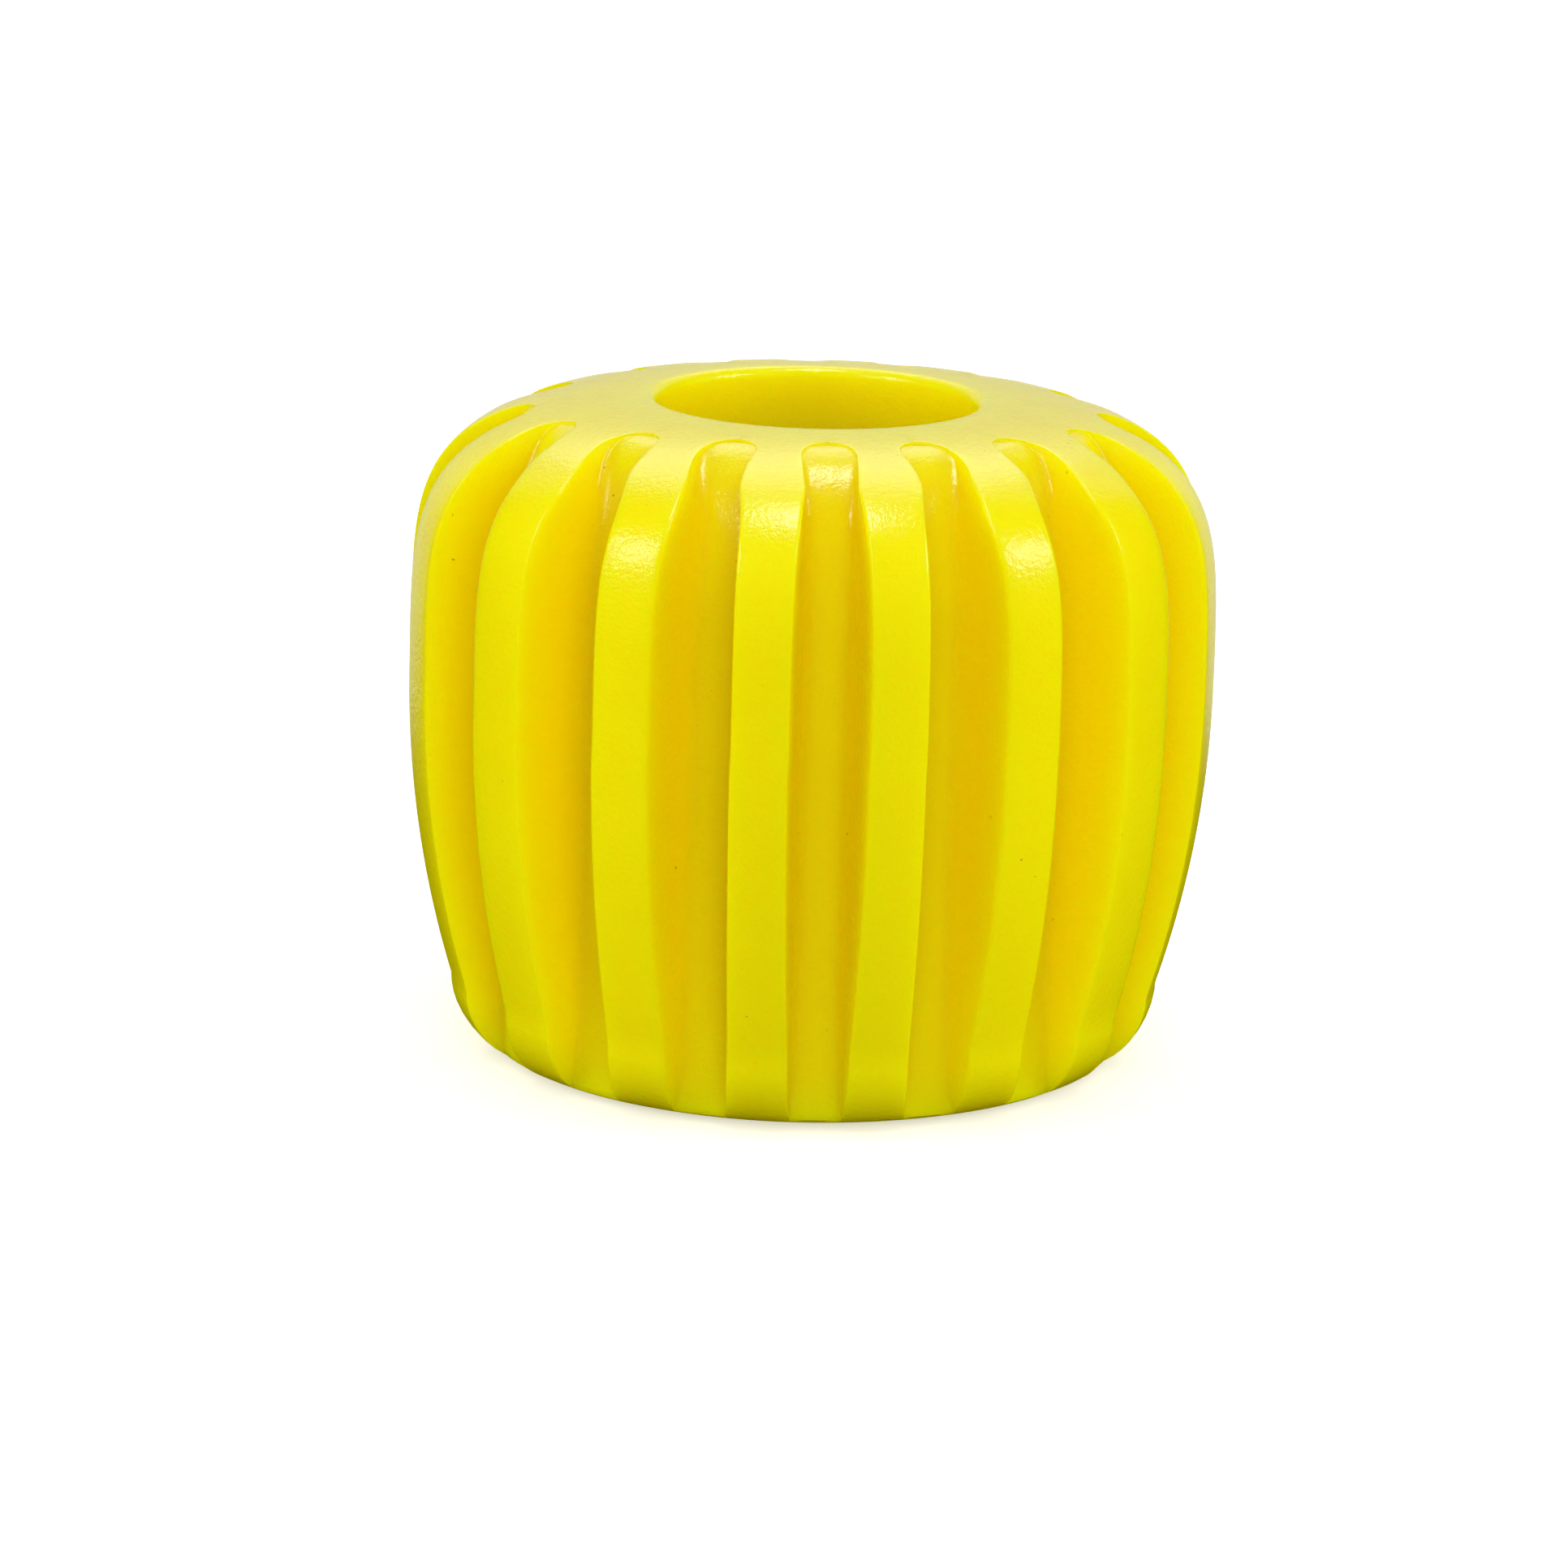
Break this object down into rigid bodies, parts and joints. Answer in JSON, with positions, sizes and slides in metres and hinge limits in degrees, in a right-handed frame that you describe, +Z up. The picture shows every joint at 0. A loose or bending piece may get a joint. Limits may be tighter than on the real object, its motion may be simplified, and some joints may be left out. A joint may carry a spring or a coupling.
{
  "type": "fluted valve hand knob",
  "caption": "Barrel-shaped fluted hand knob with a round recess in its top, a square drive socket inside and a spring-loaded lock nut that holds it on a valve stem.",
  "frame": {"origin": "centre of the knob's flat resting face, on its axis", "axes": "+Z up along the knob's axis, from the valve side towards the open top; a flute faces -Y and a rib faces +X"},
  "size_m": [0.0476, 0.0478, 0.0394],
  "materials": {
    "grip": "semi-gloss, waxy, lightly orange-peeled soft plastic",
    "core": "matt glass-filled nylon",
    "insert": "machined brass",
    "washers": "stamped stainless steel",
    "spring": "drawn stainless wire",
    "nut": "turned stainless steel",
    "nylon": "natural nylon"
  },
  "bodies": {
    "knob": {"grip": "grip", "hub_core": "core", "drive_insert": "insert", "seat_washer": "washers", "spring": "spring"},
    "nut": {"nut_washer": "washers", "lock_nut": "nut", "locking_ring": "nylon"}
  },
  "joints": [
    {"name": "nut_slide", "type": "slide", "parent": "knob", "child": "nut", "axis": [0, 0, 1], "range_m": [-0.0025, 0], "stiffness_N_per_m": 1500, "springref_m": 0.003, "deforming": ["spring"]}
  ]
}
